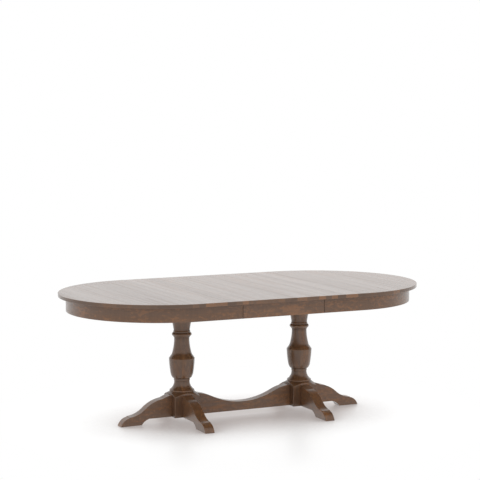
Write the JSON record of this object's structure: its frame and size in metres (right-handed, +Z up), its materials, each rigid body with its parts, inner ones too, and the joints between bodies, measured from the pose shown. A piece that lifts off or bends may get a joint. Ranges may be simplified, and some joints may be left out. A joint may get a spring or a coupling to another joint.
{
  "type": "dining table",
  "caption": "Oval extension dining table with a drop-in leaf, a bent apron and two turned pedestals on scrolled feet joined by a stretcher.",
  "frame": {"origin": "on the floor, under the middle of the top", "axes": "+X along the table's length, to the right; +Y to the back; +Z up"},
  "size_m": [2.19, 1.176, 0.762],
  "materials": {
    "top_boards": "brown stained, satin lacquer",
    "apron_boards": "brown stained, satin lacquer",
    "turned_posts": "brown stained, satin lacquer",
    "base_boards": "brown stained, satin lacquer",
    "rail_stock": "bare planed hardwood",
    "pegs": "bare turned hardwood",
    "gearing": "moulded nylon",
    "hardware": "zinc plated steel",
    "glides": "moulded plastic"
  },
  "bodies": {
    "base": {"bearer_left": "rail_stock", "bearer_right": "rail_stock", "bridge": "rail_stock", "column_left": "turned_posts", "column_right": "turned_posts", "column_screws": "hardware", "foot_dowels_left": "pegs", "foot_dowels_right": "pegs", "foot_glides_left": "glides", "foot_glides_right": "glides", "foot_left_back": "base_boards", "foot_left_front": "base_boards", "foot_left_outer": "base_boards", "foot_right_back": "base_boards", "foot_right_front": "base_boards", "foot_right_outer": "base_boards", "hanger_bolts_left": "hardware", "hanger_bolts_right": "hardware", "hanger_nuts_left": "hardware", "hanger_nuts_right": "hardware", "hub_left": "turned_posts", "hub_right": "turned_posts", "pinion_bolt": "hardware", "pinion_nut": "hardware", "rack_guides": "rail_stock", "rail_fixed_back": "rail_stock", "rail_fixed_front": "rail_stock", "rail_screws": "hardware", "stretcher": "base_boards"},
    "left_top": {"top_left": "top_boards", "apron_left": "apron_boards", "glue_blocks_left": "rail_stock", "slide_left_back": "rail_stock", "slide_left_front": "rail_stock", "rack_left": "gearing", "rack_block_left": "rail_stock", "end_batten_left": "rail_stock", "top_screws_left": "hardware", "stop_pins_left": "hardware", "seam_pins_left": "pegs"},
    "right_top": {"top_right": "top_boards", "apron_right": "apron_boards", "glue_blocks_right": "rail_stock", "slide_right_back": "rail_stock", "slide_right_front": "rail_stock", "rack_right": "gearing", "rack_block_right": "rail_stock", "end_batten_right": "rail_stock", "top_screws_right": "hardware", "stop_pins_right": "hardware", "seam_pins_right": "pegs"},
    "leaf": {"leaf": "top_boards", "leaf_apron_front": "apron_boards", "leaf_apron_back": "apron_boards", "leaf_blocks": "rail_stock"},
    "pinion": {"pinion": "gearing"}
  },
  "joints": [
    {"name": "left_top_slide", "type": "slide", "parent": "base", "child": "left_top", "axis": [-1, 0, 0], "range_m": [0, 0.05]},
    {"name": "right_top_slide", "type": "slide", "parent": "base", "child": "right_top", "axis": [1, 0, 0], "range_m": [0, 0.05]},
    {"name": "pinion_turn", "type": "hinge", "parent": "base", "child": "pinion", "pos_m": [0, 0, 0.698], "axis": [0, 0, 1], "range_deg": [0, 106.2]},
    {"name": "leaf_lift", "type": "slide", "parent": "base", "child": "leaf", "axis": [0, 0, 1], "range_m": [0, 0.15]}
  ],
  "couplings": [
    {"joint": "right_top_slide", "follows": "left_top_slide", "ratio": 1},
    {"joint": "pinion_turn", "follows": "left_top_slide", "rad_per_m": 37.037}
  ]
}
